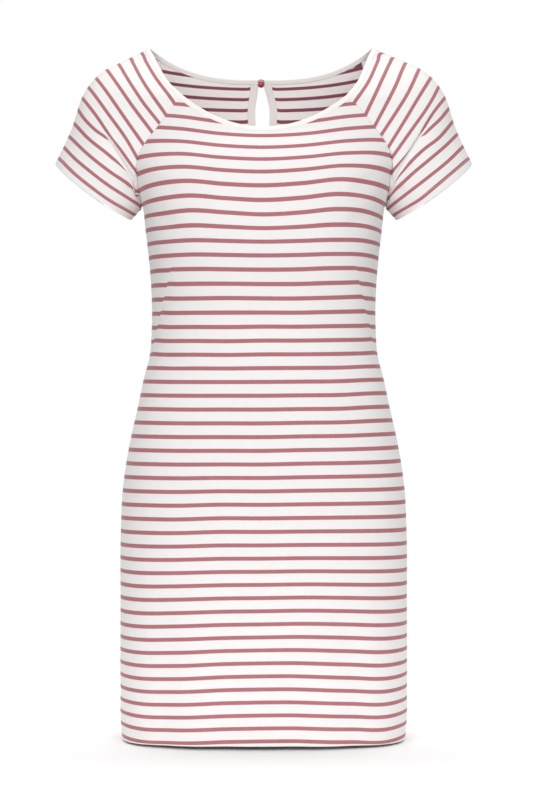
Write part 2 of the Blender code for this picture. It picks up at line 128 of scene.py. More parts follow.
keyhole = {
    "top": -0.0361,
    "length": 0.075,
    "topHalfWidth": 0.0047,
    "halfWidth": 0.0104,
    "widensOver": 0.034,
    "roundness": 5.0,
    "offset": -0.0018,
    "rowAbove": 0.003,  # to the first row of points above it
    "facingWidth": 0.008,
    "stripeLift": 0.06,  # how far the stripes turn up beside it, of the distance between two
    "liftWidth": 0.004,
    "liftOver": 0.01,
}

cloth = {
    "thickness": 0.0009,
    "panelColumns": 200,
    "skirtRows": 128,
    "yokeRows": 44,  # on the front
    "backYokeRows": 20,  # up to the keyhole
    "keyholeRows": 30,
    "seamColumns": 100,  # round the sleeve, along each raglan seam
    "shoulderColumns": 32,
    "sleeveRows": 110,
    "cuffRowsCloser": 0.4,  # how much closer the sleeve's rows are at the cuff
    "hemTurn": 0.0165,
    "firstRow": 0.0025,  # from the hem's edge to the first row above it
    "rowStep": 0.001,  # between rows over the turned-up part
    "turnRows": 5,  # inside, on the turned-up part
    "turnEnd": 0.002,
    "foldRadius": 0.0010,  # how round the turned-up edges are
    "foldStep": 30,  # degrees between the rows round them
    "seamDip": 0.0002,  # how far a seam pulls the cloth in
    "halfSeamGap": 0.00015,
    "mergeWithin": 0.00002,
    "sharpFrom": 50,  # degrees between two faces, from which the edge between them shows
}
# How many places each line is measured at
samples = {
    "levelRow": 401,
    "neckSide": 400,
    "backMiddle": 300,
    "raglanSeam": 200,
    "fold": 90,
    "mainFold": 8,
}

# Two rows of stitches hold each hem, and one row the binding and the facing
stitching = {
    "rowsAbove": (0.0105, 0.0135),  # from the hem's edge
    "length": 0.0026,
    "gap": 0.0008,
    "thread": 0.00040,  # a little thicker than the real thread, as fine as shows
    "dip": 0.00020,
    "dipWidth": 0.0009,
}


def unit(vectors):
    return vectors / np.maximum(np.linalg.norm(vectors, axis=-1, keepdims=True), 1e-12)


def lengthAlong(points):
    # how far along a row of points each of them lies
    return np.append(0.0, np.cumsum(np.linalg.norm(np.diff(points, axis=0), axis=1)))


def lengthAcross(grid, fromColumn=0):
    length = np.array([lengthAlong(row) for row in grid])
    return length - length[:, fromColumn:fromColumn + 1]


def smoothBetween(knots, values, wanted, columns=None):
    # cubic curve through the values at rising knots, or through its own column for each place
    wanted = np.clip(wanted, knots[0], knots[-1])
    slopes = np.gradient(values, knots, axis=0)
    place = np.clip(np.searchsorted(knots, wanted, side="right") - 1, 0, len(knots) - 2)
    after = place + 1
    span = knots[after] - knots[place]
    share = (wanted - knots[place]) / span
    if columns is not None:
        place, after = (place, columns), (after, columns)
    elif values.ndim > 1:
        share = share[..., None]
        span = span[..., None]
    start = values[place] * (1 + 2 * share) + slopes[place] * span * share
    end = values[after] * (3 - 2 * share) - slopes[after] * span * (1 - share)
    return start * (1 - share) ** 2 + end * share ** 2


def ease(share):
    share = np.clip(share, 0.0, 1.0)
    return share * share * (3 - 2 * share)


def bodySize(column, height):
    return smoothBetween(body["height"], body[column], height)


def bodyDepth(across, height, side):
    squareness = bodySize("squareness", height)
    share = np.clip(np.abs(across) / bodySize("halfWidth", height), 0.0, 1.0)
    return bodySize(side, height) * (1 - share ** squareness) ** (1 / squareness)


def evenRow(height, reach, side):
    # places across a level section, evenly spaced along the cloth from seam to seam
    power = 2 / bodySize("squareness", height)
    halfWidth = bodySize("halfWidth", height)
    lastTurn = math.asin(min(1.0, (reach / halfWidth) ** (1 / power)))
    turn = np.linspace(-lastTurn, lastTurn, samples["levelRow"])
    across = halfWidth * np.sign(turn) * np.abs(np.sin(turn)) ** power
    depth = bodySize(side, height) * np.abs(np.cos(turn)) ** power
    length = lengthAlong(np.stack((across, depth), axis=1))
    return np.interp(np.linspace(0.0, length[-1], cloth["panelColumns"] + 1), length, across)


def leanAt(height):
    # the top of the dress hangs a little to one side
    share = (height - bodyForm["leanFrom"]) / (bodyForm["leanTo"] - bodyForm["leanFrom"])
    return bodyForm["lean"] * ease(share)


def leanOver(points):
    leaning = np.array(points, dtype=float)
    leaning[..., 0] -= leanAt(leaning[..., 2])
    return leaning


def dipAt(sideHeight, side):
    dip = neckDip[side]
    return dip["depth"] * ease((sideHeight - dip["from"]) / (dip["top"] - dip["from"]))


def seamAcross(side, hand, height):
    seam = raglanSeams[side]
    return smoothBetween(seam[:, 0], seam[:, 1 if hand < 0 else -1], height)


def seamReach(sideHeight, side, hand):
    if sideHeight <= bodyForm["underarm"]:
        return float(bodySize("halfWidth", sideHeight))
    return float(seamAcross(side, hand, sideHeight))


def skirtHeights():
    # close rows over the hem's turn and stitches, wider ones up to the underarm
    close = np.arange(cloth["firstRow"], cloth["hemTurn"], cloth["rowStep"])
    close = bodyForm["hem"] + np.append(0.0, close)
    return np.append(close, np.linspace(close[-1], bodyForm["underarm"], cloth["skirtRows"] + 1)[1:])


underarmRow = len(skirtHeights()) - 1
skirtUp = skirtHeights() - bodyForm["hem"]
halfColumns = cloth["panelColumns"] // 2


def panelRow(across, reach, sideHeight, side):
    # one row of a panel, which dips between the raglan seams. reach is how far out its ends lie.
    share = np.abs(across) / np.where(across < 0, reach[0], reach[-1])
    height = sideHeight - dipAt(sideHeight, side) * (1 - share ** neckDip[side]["curve"])
    if side == "front":
        nearHem = ease(1 - (sideHeight - bodyForm["hem"]) / bodyForm["hemRiseOver"])
        height = height + bodyForm["hemRise"] * nearHem * (1 - share ** 2)
    depth = bodyDepth(across, height, side)
    for end, out in zip((0, -1), reach):
        depth[end] = bodyDepth(out, sideHeight, side)
    return np.stack((across, -depth if side == "front" else depth, height), axis=1)


def frontGrid():
    # rows of points from the hem to the free neck edge
    yoke = np.linspace(bodyForm["underarm"], neckDip["front"]["top"], cloth["yokeRows"] + 1)
    rows = []
    for sideHeight in np.append(skirtHeights(), yoke[1:]):
        reach = [seamReach(sideHeight, "front", hand) for hand in (-1, 1)]
        onLeft, onRight = (evenRow(sideHeight, out, "front") for out in reach)
        across = np.append(onLeft[:halfColumns], onRight[halfColumns:])
        rows.append(panelRow(across, reach, sideHeight, "front"))
    return np.array(rows)


def keyholeMiddle(height):
    return keyhole["offset"] * ease((height - bodyForm["underarm"]) / keyhole["length"])


def keyholeHalfWidth(height):
    down = keyhole["top"] - height
    wider = ease(down / keyhole["widensOver"])
    halfWidth = keyhole["topHalfWidth"] + (keyhole["halfWidth"] - keyhole["topHalfWidth"]) * wider
    closed = np.clip(down / keyhole["length"], 0.0, 1.0) ** keyhole["roundness"]
    return halfWidth * np.sqrt(1 - closed)


def downKeyhole(count):
    # heights from its top to its bottom, closer together at the round end
    return keyhole["top"] - keyhole["length"] * (1 - (1 - np.linspace(0.0, 1.0, count)) ** 2)


def backSideHeights():
    # the rows at the middle of the back keep step with the keyhole
    dip = neckDip["back"]
    above = (keyhole["top"] + keyhole["rowAbove"], dip["top"] - dip["depth"])
    middle = np.append(downKeyhole(cloth["keyholeRows"])[::-1], above)
    tried = np.linspace(bodyForm["underarm"], dip["top"], samples["neckSide"])
    besideKeyhole = np.interp(middle, tried - dipAt(tried, "back"), tried)
    yoke = np.linspace(bodyForm["underarm"], besideKeyhole[0], cloth["backYokeRows"])
    return np.concatenate((skirtHeights(), yoke[1:], besideKeyhole[1:]))


def backGrid(hand):
    # one half of the back, from its seam to the middle or the keyhole's edge
    rows = []
    for sideHeight in backSideHeights():
        reach = seamReach(sideHeight, "back", hand)
        across = -hand * evenRow(sideHeight, reach, "back")[: halfColumns + 1]
        middleHeight = sideHeight - dipAt(sideHeight, "back")
        edge = keyholeMiddle(middleHeight) + hand * keyholeHalfWidth(middleHeight)
        across = hand * reach + (across - hand * reach) * (edge - hand * reach) / (-hand * reach)
        rows.append(panelRow(across, (reach,), sideHeight, "back"))
    return np.array(rows)


# The stripes, numbered down the front from the first whole one
stripes = {
    "width": 0.305,  # of the distance between two stripes
    "pitch": 0.0165,  # metres along the cloth
    "rounds": 8,  # of search for the height in the middle that a stripe rises from
}
# A stripe's number and its height in the middle of the front
stripeHeights = np.array((
    (-3, -0.075), (-2, -0.090), (-1, -0.105), (0, -0.1202), (3, -0.1663), (6, -0.2188), (9, -0.2681),
    (12, -0.3197), (15, -0.3709), (18, -0.4213), (21, -0.4717), (24, -0.5215), (27, -0.5703),
    (30, -0.6194), (33, -0.6672), (36, -0.7150), (39, -0.7622), (42, -0.8096), (45, -0.8568), (48, -0.904),
))

# How far a stripe rises above its middle at shares of the half width. In millimetres: height, rises
bowShares = np.array((-1.0, -0.85, -0.6, -0.3, 0.0, 0.3, 0.6, 0.85, 1.0))
stripeBows = np.array((
    (-841, -3.5, -5.2, -4, -1.5, 0, -0.5, -3, -5.6, -3),
    (-778, -6, -6.5, -4.8, -1.5, 0, -0.5, -3.5, -6.4, -5),
    (-715, -6.3, -6, -3.7, -1, 0, 0.5, -1.5, -4.3, -5.2),
    (-651, -4, -4, -2.5, -0.5, 0, 0.5, -0.5, -2, -3),
    (-586, -3, -2.5, -2, 0, 0, 0.5, 0.5, 0, -0.5),
    (-521, -0.5, -0.5, -0.5, 0, 0, 1, 1.5, 2, 2.5),
    (-440, 1, 0.5, 0, 0, 0, 0.5, 1, 3, 3.5),
    (-354, 1.5, 0.5, 0, -0.5, 0, 0, 1, 2, 2.5),
    (-320, 1.5, 1, 0.5, 0.5, 0, 0, 1.5, 3, 2),
    (-286, 1.5, 1.5, 1.5, 0.5, 0, 0.5, 2.5, 3, 1),
    (-252, 2, 2, 2.5, 1, 0, 1, 3, 3.5, 1.5),
    (-219, 3.5, 4, 6, 2.5, 0, 2.5, 7.5, 6.5, 1.5),
    (-183, 0.5, 5, 7, 2, 0, 3, 9, 6.5, 2.5),
    (-151, 5, 8, 8.5, 2.5, 0, 3, 9.5, 11, 7),
    (-120, 17, 15.5, 11, 3, 0, 3, 11, 16, 18),
)) / 1000


def bowAt(share, height):
    rows = smoothBetween(stripeBows[:, 0], stripeBows[:, 1:], height)
    return smoothBetween(bowShares, rows.T, share, np.arange(len(share)))


def frontStripe(across, height):
    # the stripe number at a place on the front
    shape = np.shape(across)
    across = np.ravel(across)
    height = np.ravel(height)
    share = across / bodySize("halfWidth", height)
    middleHeight = height.copy()
    for again in range(stripes["rounds"]):
        middleHeight = height - bowAt(share, middleHeight)
    order = stripeHeights[::-1]
    number = smoothBetween(order[:, 1], order[:, 0], middleHeight)
    return number.reshape(shape)


backStripes = {
    "neckShift": (0.62, 0.90),  # how far the stripes near the neck rise towards each raglan seam
    "neckShiftHeight": -0.02,
    "mostShift": 1.2,  # of that rise, above that height
    "shiftPower": 2.2,
    "measured": (-0.90, 0.0),  # heights from below the hem to above the neck
}
# At the middle of the back: number, height
backHeights = np.array((
    (45, -0.8570), (-1, -0.0824), (-2, -0.0683), (-3, -0.0547), (-4, -0.0420), (-5, -0.0300), (-6, -0.0180),
))


def backMiddleStripe(height):
    # evenly spaced along the cloth between the known ones, and carried on past both ends
    heights = np.linspace(*backStripes["measured"], samples["backMiddle"])
    length = lengthAlong(np.stack((heights, bodySize("back", heights)), axis=1))
    known = np.interp(backHeights[:, 1], heights, length)
    wanted = np.interp(height, heights, length)
    pitch = (known[1] - known[0]) / (backHeights[0, 0] - backHeights[1, 0])
    return np.interp(wanted, known, backHeights[:, 0]) + np.clip(known[0] - wanted, 0.0, None) / pitch


def backStripe(across, height, share):
    # matches the front at the side seams and runs level round the back of the neck
    underarm = bodyForm["underarm"]
    hand = np.where(across < 0, -1.0, 1.0)
    low = np.minimum(height, underarm)
    side = frontStripe(hand * bodySize("halfWidth", low), low) - backMiddleStripe(low)
    up = (height - underarm) / (backStripes["neckShiftHeight"] - underarm)
    up = np.clip(up, 0.0, backStripes["mostShift"])
    side = side + (np.where(hand < 0, *backStripes["neckShift"]) - side) * up
    return backMiddleStripe(height) + side * np.abs(share) ** backStripes["shiftPower"]


def inwardNormals(grid, towards=None, closedRound=False):
    # unit vectors square to a grid of points, towards the given points or the dress's middle line
    if closedRound:
        ring = grid[:, :-1]
        along = np.roll(ring, -1, axis=1) - np.roll(ring, 1, axis=1)
        along = np.concatenate((along, along[:, :1]), axis=1)
    else:
        along = np.gradient(grid, axis=1)
    if towards is None:
        towards = grid * np.array((0.0, 0.0, 1.0))
    normals = unit(np.cross(along, np.gradient(grid, axis=0)))
    return -normals if np.sum(normals * (towards - grid)) < 0 else normals


def turnHem(grid, number, inward):
    # the cloth is turned up inside at a hem: round its edge, then back up for the turn's depth
    radius = cloth["foldRadius"]
    down = unit(grid[0] - grid[1])
    edge = grid[0] - down * radius
    perMetre = (number[0] - number[2]) / np.linalg.norm(grid[0] - grid[2], axis=1)
    rows = []
    numbers = []
    steps = [(math.pi, up) for up in np.linspace(cloth["hemTurn"], cloth["turnEnd"], cloth["turnRows"])]
    steps += [(math.radians(angle), 0.0) for angle in range(180, -1, -cloth["foldStep"])]
    for angle, up in steps:
        place = edge + inward[0] * radius * (1 - math.cos(angle)) + down * (radius * math.sin(angle) - up)
        rows.append(place)
        numbers.append(number[0] + perMetre * (radius * angle + up))
    # the row at the edge itself gives way to the rounded one
    return np.concatenate((np.array(rows), grid[1:])), np.concatenate((np.array(numbers), number[1:]))


def addHemRows(values, turned):
    # the turned-up rows repeat the first row's places across the cloth
    return np.concatenate((np.repeat(values[:1], len(turned) - len(values), axis=0), values))


def clothPatch(points, across, number, towards=None, cover=None, closedRound=False):
    # right-side points with their cloth coordinates, the vectors towards the wrong side, and how
    # much of the stripes a fold covers
    cover = np.zeros(number.shape) if cover is None else cover
    return points, across, number, inwardNormals(points, towards, closedRound), cover


def makeCloth(name, patches, finish, thickness=cloth["thickness"]):
    shape = bmesh.new()
    towardsWrong = shape.verts.layers.float_vector.new("towardsWrong")
    covered = shape.verts.layers.float.new("covered")
    clothPlace = shape.loops.layers.uv.new("cloth")
    for points, across, number, inward, cover in patches:
        rows, columns = points.shape[:2]
        grid = bmesh.ops.create_grid(shape, x_segments=columns - 1, y_segments=rows - 1, size=1.0)
        places = {vertex: divmod(index, columns) for index, vertex in enumerate(grid["verts"])}
        for vertex, place in places.items():
            vertex[towardsWrong] = inward[place] * thickness
            vertex[covered] = cover[place]
            vertex.co = points[place]
            for loop in vertex.link_loops:
                loop[clothPlace].uv = (across[place], number[place])
    bmesh.ops.remove_doubles(shape, verts=shape.verts, dist=cloth["mergeWithin"])
    shell = bmesh.ops.extrude_face_region(shape, geom=shape.faces, use_keep_orig=True)
    for part in shell["geom"]:
        if isinstance(part, bmesh.types.BMVert):
            part.co += part[towardsWrong]
        if isinstance(part, bmesh.types.BMFace):
            part.material_index = len(finish["materials"]) - 1
    bmesh.ops.recalc_face_normals(shape, faces=shape.faces)
    return finishPiece(name, shape, finish)


def finishPiece(name, shape, finish):
    mesh = bpy.data.meshes.new(name)
    shape.to_mesh(mesh)
    shape.free()
    for material in finish["materials"]:
        mesh.materials.append(material)
    mesh.shade_smooth()
    mesh.set_sharp_from_angle(angle=math.radians(cloth["sharpFrom"]))
    piece = bpy.data.objects.new(name, mesh)
    bpy.context.scene.collection.objects.link(piece)
    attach(piece, "root")
    print("made", name, "with", len(mesh.polygons), "faces")
    return piece


# Folds and creases, each along a curve. The cloth above the line laps over steeply, and the cloth
# below rises gently. In millimetres: start x z, bend x z, end x z, depth, width above, width below
sleeveFolds = {
    (-1, "front"): (
        (210, -89, 183.5, -138.5, 155, -179, 3.6, 2.4, 11),
        (179, -158, 168, -168, 153, -188, 2.6, 2, 5.5),
        (172, -176.5, 164, -182.5, 153, -190.5, 2, 1.8, 5),
    ),
    (-1, "back"): (
        (205, -90, 180, -140, 156, -185, 5, 4.5, 12),
        (190, -150, 175, -172, 156, -192, 3, 3.5, 7),
    ),
    (1, "front"): (
        (219, -79, 186.5, -127.5, 160, -172.5, 3.8, 2.4, 11),
        (188, -147.5, 175, -161, 159, -180, 2.4, 2, 6),
        (176, -175, 166, -183, 156, -192, 1.6, 2, 5),
    ),
    (1, "back"): (
        (210, -85, 178, -138, 155, -182, 5.2, 4.5, 12),
        (185, -154, 172, -174, 156, -191.5, 2.8, 3.5, 7),
    ),
}
# Soft drag lines by the underarms and waist
bodyCreases = {
    "front": (
        (-146, -212, -125, -222, -98, -236, 2, 8, 11),
        (146, -210, 122, -219, 94, -230, 2.4, 8, 12),
        (-150, -168, -125, -183, -96, -190, 1.4, 9, 9),
        (151, -160, 128, -178, 100, -189, 1.7, 8.5, 10),
        (-139, -392, -112, -401, -80, -403, 1.5, 7, 10),
        (138, -384, 108, -395, 70, -398, 1.7, 8, 11),
        (-146, -428, -118, -431, -92, -428, 1.1, 8, 8),
        (148, -420, 120, -427, 88, -426, 1.3, 7, 9),
    ),
    "back": (
        (-148, -190, -120, -208, -85, -224, 2.4, 9, 12),
        (149, -185, 123, -206, 90, -220, 2.2, 8, 12),
        (-138, -355, -100, -370, -52, -372, 2.6, 8, 12),
        (139, -348, 96, -362, 48, -365, 2.8, 8.5, 13),
        (-126, -398, -80, -408, 15, -406, 3, 9, 14),
        (134, -393, 100, -402, 60, -415, 2, 8, 11),
    ),
}
# Shallow flutes in the skirt
skirtFlutes = {
    "front": (
        (-116, -660, -121, -760, -125, -890, 3, 19, 22),
        (-54, -720, -50, -800, -47, -890, 1.8, 17, 19),
        (28, -700, 34, -790, 40, -890, 2, 21, 18),
        (102, -640, 108, -750, 115, -890, 3.2, 22, 19),
    ),
    "back": (
        (-112, -670, -116, -770, -118, -890, 3.4, 21, 23),
        (-32, -700, -28, -790, -26, -890, 2.4, 20, 21),
        (46, -680, 50, -780, 54, -890, 2.8, 22, 19),
        (118, -650, 122, -760, 126, -890, 3.2, 20, 22),
    ),
}
foldReach = {
    "grows": 0.5,  # the share of a fold's length over which it deepens
    "fades": 0.4,  # the share over which a drag line ends
    "clearOfSeam": 0.02,  # metres from the panels' seams and neck edge
    "clearOfRaglan": 0.12,  # the share of the sleeve next to its raglan seam
    "clearOfOutline": 0.012,  # metres before and behind the sleeve's outline
}


def foldLine(fold):
    # where a fold starts, bends and ends
    return np.reshape(fold[:6], (3, 2)) / 1000


def curveThrough(line, count):
    share = np.linspace(0.0, 1.0, count)[:, None]
    start, bend, end = np.array(line)
    return start * (1 - share) ** 2 + bend * 2 * share * (1 - share) + end * share ** 2


def besideLine(flat, line):
    # how far each place lies above a curve, how far past its ends, and how far along it
    curve = curveThrough(line, samples["fold"])
    way = unit(np.gradient(curve, axis=0))
    places = flat.reshape(-1, 2)
    apart = places[:, None] - curve
    nearest = np.hypot(apart[..., 0], apart[..., 1]).argmin(axis=1)
    offset = apart[np.arange(len(places)), nearest]
    here = way[nearest]
    above = here[:, 1] * offset[:, 0] - here[:, 0] * offset[:, 1]
    past = np.sum(here * offset, axis=1)
    atEnd = ((nearest == 0) & (past < 0)) | ((nearest == len(curve) - 1) & (past > 0))
    beyond = np.where(atEnd, np.abs(past), 0.0)
    along = nearest / (len(curve) - 1)
    return [found.reshape(flat.shape[:-1]) for found in (above, beyond, along)]


def pressFolds(grid, flat, inward, folds, share, fades=False):
    # share is how fully the folds may show at each place, and those that fade do so at their ends
    folded = grid.copy()
    for fold in folds:
        depth, widthAbove, widthBelow = np.array(fold[6:]) / 1000
        above, beyond, along = besideLine(flat, foldLine(fold))
        width = np.where(above > 0, widthAbove, widthBelow)
        near = np.exp(-((above / width) ** 2) - (beyond / widthBelow) ** 2)
        grown = ease(along / foldReach["grows"])
        if fades:
            grown = grown * ease((1 - along) / foldReach["fades"])
        folded += inward * (depth * near * grown * share)[..., None]
    return folded


def pullStitches(fromEdge):
    # how far the rows of stitches pull the cloth in, at distances from its hem's edge
    dips = [np.exp(-(((fromEdge - row) / stitching["dipWidth"]) ** 2)) for row in stitching["rowsAbove"]]
    return stitching["dip"] * sum(dips)


# The bust darts, sewn up from the side seams, shift the stripes a little outside them
darts = {
    "line": ((0.1400, -0.3820), (0.1225, -0.3150), (0.1095, -0.2650)),
    "stripeStep": 0.0013,
    "stepWidth": 0.0100,
    "groove": 0.00035,
    "grooveWidth": 0.0016,
    "fades": 0.35,  # the share of the dart's length over which it ends
}

# Slanting rings along a sleeve, from near the seam to the cuff:
# share, outer x, outer z, inner x, inner z, half depth, droop of the front
sleeveRings = np.array((
    (0.30, 0.1995, -0.0278, 0.1545, -0.2015, 0.058, 0.000),
    (0.50, 0.2242, -0.0538, 0.1570, -0.2050, 0.056, 0.003),
    (0.75, 0.2418, -0.1025, 0.1615, -0.2105, 0.052, 0.005),
    (1.00, 0.2618, -0.1450, 0.1672, -0.2157, 0.048, 0.008),
))

# The neck edge over one shoulder, between the two raglan seams: across, depth, height
shoulderNeck = np.array((
    (0.1169, -0.0470, -0.0482),
    (0.1267, -0.0290, -0.0292),
    (0.1340, -0.0120, -0.0125),
    (0.1405, 0.0040, 0.0010),
    (0.1370, 0.0200, 0.0000),
))


def ringPoints(ring, roundShare, hand):
    outer = np.array((ring[1] * hand, 0.0, ring[2]))
    inner = np.array((ring[3] * hand, 0.0, ring[4]))
    middle = (outer + inner) / 2
    down = unit(inner - outer)
    alongArm = np.array((-down[2] * hand, 0.0, down[0] * hand))
    turn = 2 * math.pi * roundShare[:, None]
    depth = np.array((0.0, -ring[5], 0.0)) + ring[6] * alongArm
    return middle + (inner - middle) * np.cos(turn) + depth * np.sin(turn)


def evenCurve(points, count):
    # a smooth curve through the points, with evenly spaced places along it
    length = lengthAlong(points)
    return smoothBetween(length, points, np.linspace(0.0, length[-1], count + 1))


def sleeveGrid(front, back, hand):
    # rows from the raglan seam and neck edge to the cuff, round from the underarm by the front
    frontSeam = evenCurve(front[underarmRow:, 0 if hand < 0 else -1], cloth["seamColumns"])
    backSeam = evenCurve(back[underarmRow:, 0][::-1], cloth["seamColumns"])
    shoulder = shoulderNeck * np.array((hand, 1, 1))
    knots = np.vstack((frontSeam[-1], leanOver(shoulder), backSeam[0]))
    overShoulder = evenCurve(knots, cloth["shoulderColumns"])
    loop = np.vstack((frontSeam[:-1], overShoulder, backSeam[1:]))
    length = lengthAlong(loop)
    roundShare = length / length[-1]
    rings = np.array([loop] + [ringPoints(ring, roundShare, hand) for ring in sleeveRings])
    knots = np.append(0.0, sleeveRings[:, 0])
    rows = np.linspace(0.0, 1.0, cloth["sleeveRows"] + 1)
    rows = rows * (1 + cloth["cuffRowsCloser"] * (1 - rows))
    flat = smoothBetween(knots, rings.reshape(len(rings), -1), rows)
    return flat.reshape(len(rows), -1, 3)


# Where the stripes of each sleeve run on its front, from the first: x and z of two or more points,
# in millimetres, from the shoulder's outline towards the raglan seam or the underarm
sleeveStripes = {
    -1: (
        ((151, -5), (133, -42.5)),
        ((165, -12), (145, -55)),
        ((179.5, -20.5), (164.5, -50.5), (151.5, -72)),
        ((194.5, -29), (168, -71.5)),
        ((209, -39.5), (187.5, -71.5), (167, -101.5)),
        ((219, -51.5), (194, -87), (170, -120.5)),
        ((226.5, -66), (206.5, -92.5), (193.5, -112), (177, -134), (162.5, -154)),
        ((232, -80.5), (225.5, -90.5), (209, -108.5), (193.5, -121), (190.5, -126)),
        ((237.5, -97), (217.5, -119), (192, -140), (175.5, -154.5), (163.5, -168.5), (156, -183)),
        ((244.5, -112.5), (217, -139.5), (192, -159.5), (168, -176), (155.5, -187.5)),
        ((252, -125), (234.5, -143.5), (217, -158.5), (192, -177.5), (176, -187.5), (156.5, -199)),
        ((257, -140), (234, -163), (213, -180), (191, -195.5), (161.5, -211)),
    ),
    1: (
        ((152, -6), (131, -48)),
        ((165.5, -12.5), (142.5, -56)),
        ((180.5, -20.5), (160, -61.5)),
        ((197, -29), (176, -68), (164.5, -86.5)),
        ((211, -39.5), (194, -65), (175.5, -96)),
        ((219.5, -52), (202.5, -81.5), (183.5, -108.5)),
        ((225.5, -67), (210, -87.5), (197, -109), (181, -134)),
        ((231, -79.5), (221, -92.5), (205.5, -108), (193.5, -120.5)),
        ((236.5, -95), (217, -118.5), (197.5, -134), (183, -148), (170.5, -163), (161, -174.5)),
        ((244, -109), (227.5, -126), (203.5, -147), (185.5, -162), (161.5, -184.5)),
        ((251.5, -124), (227.5, -148), (205.5, -166), (184.5, -182), (162, -198.5)),
        ((258.5, -139), (236.5, -158.5), (215.5, -176.5), (192.5, -195), (170, -207.5)),
    ),
}
# The front's stripe numbers where the sleeve's first stripes reach the raglan seam
sleeveMeets = {
    -1: (-2.0, -1.0, -0.3, 0.4, 1.2, 2.05, 2.85),
    1: (-2.1, -1.0, 0.0, 0.65, 1.45, 2.1, 3.0),
}
sleeveFan = {
    "along": (-0.66, -0.75),  # the way that the stripes run, down towards the body
    "halfWidth": 0.0021,  # of a stripe
    "pressed": 0.31,  # of the gap to the next stripe, the most that a half width takes
    "belowLast": 0.020,  # plain cloth below the last stripe
    "hidden": 8,  # the stripe that goes under the main fold
    "hiddenHalfWidth": 0.0002,
    "hideFrom": 0.010,  # how gently it narrows into the fold
    "coverWidth": 0.0020,
    "backMeets": np.arange(-5, 5),  # the back's stripe numbers where the first ones reach its seam
    "leastGap": 0.000001,  # between two stripes' edges
    "blend": 0.015,  # before and behind the sleeve's outline, where front and back stripes join
}


def alongSleeve(places):
    way = unit(np.array(sleeveFan["along"]))
    return places @ way, places @ np.array((-way[1], way[0]))


def lineHeight(points, wanted):
    # a smooth line through the points, carried on straight past both ends
    along, off = alongSleeve(np.array(points))
    order = np.argsort(along)
    along, off = along[order], off[order]
    fit = smoothBetween(along, off, wanted)
    first = (off[1] - off[0]) / (along[1] - along[0])
    last = (off[-1] - off[-2]) / (along[-1] - along[-2])
    fit = np.where(wanted < along[0], off[0] + (wanted - along[0]) * first, fit)
    return np.where(wanted > along[-1], off[-1] + (wanted - along[-1]) * last, fit)


def numberAmong(lines, off, hidden):
    # the stripe number of each point among the lines that run beside it, where each stripe keeps
    # its width unless its neighbours press on it or the fold hides it
    shown = stripes["width"] / 2
    edges = []
    numbers = []
    for place, line in enumerate(lines):
        gaps = [np.abs(lines[other] - line) for other in (place - 1, place + 1) if 0 <= other < len(lines)]
        half = np.minimum(sleeveFan["halfWidth"], sleeveFan["pressed"] * np.min(gaps, axis=0))
        if place + 1 == sleeveFan["hidden"]:
            half = np.maximum(half * (1 - hidden), sleeveFan["hiddenHalfWidth"])
        edges += [line - half, line + half]
        numbers += [place + 1 - shown, place + 1 + shown]
    edges.append(lines[-1] + sleeveFan["belowLast"])
    numbers.append(len(lines) + 1 - shown)
    found = off
    for place in range(len(numbers) - 1):
        gap = np.maximum(edges[place + 1] - edges[place], sleeveFan["leastGap"])
        here = numbers[place] + (off - edges[place]) / gap * (numbers[place + 1] - numbers[place])
        found = np.where((place == 0) | (off > edges[place]), here, found)
    return found


def seamPlaces(side, hand, numbers):
    # where the panel's stripes of these numbers meet the raglan seam
    heights = np.linspace(raglanSeams[side][0, 0], raglanSeams[side][-1, 0], samples["raglanSeam"])
    reach = seamAcross(side, hand, heights)
    if side == "front":
        found = frontStripe(hand * reach, heights)
    else:
        found = backStripe(hand * reach, heights, np.ones(len(heights)))
    at = np.interp(-np.array(numbers, dtype=float), -found, heights)
    return np.stack((np.interp(at, heights, reach), at), axis=1)


def sleeveNumbers(grid, hand):
    flat = np.stack((grid[..., 0] * hand, grid[..., 2]), axis=-1).reshape(-1, 2)
    flat[:, 0] += hand * leanAt(flat[:, 1])
    along, off = alongSleeve(flat)
    table = [np.array(points) / 1000 for points in sleeveStripes[hand]]
    meets = seamPlaces("front", hand, sleeveMeets[hand])
    lines = []
    for place, points in enumerate(table):
        if place < len(meets):
            points = np.vstack((points, meets[place]))
        lines.append(lineHeight(points, along))
    # one stripe narrows and goes under the main fold
    mainFold = foldLine(sleeveFolds[hand, "front"][0])
    foldOff = lineHeight(curveThrough(mainFold, samples["mainFold"]), along)
    hidden = sleeveFan["hidden"] - 1
    under = along - alongSleeve(table[hidden][-1])[0] + sleeveFan["hideFrom"]
    under = ease(under / sleeveFan["hideFrom"])
    lines[hidden] = lines[hidden] + (foldOff - lines[hidden]) * under
    onFront = numberAmong(lines, off, under)
    cover = under * np.exp(-(((off - foldOff) / sleeveFan["coverWidth"]) ** 4))
    # the back has the same stripes over the shoulder and meets the back panel's own
    meets = seamPlaces("back", hand, sleeveFan["backMeets"])
    lines = []
    for place, points in enumerate(table):
        end = meets[place] if place < len(meets) else points[-1]
        lines.append(lineHeight((points[0], end), along))
    onBack = numberAmong(lines, off, np.zeros(len(off)))
    turn = ease((grid[..., 1].ravel() + sleeveFan["blend"]) / (2 * sleeveFan["blend"]))
    number = onFront + (onBack - onFront) * turn
    return number.reshape(grid.shape[:2]), (cover * (1 - turn)).reshape(grid.shape[:2])


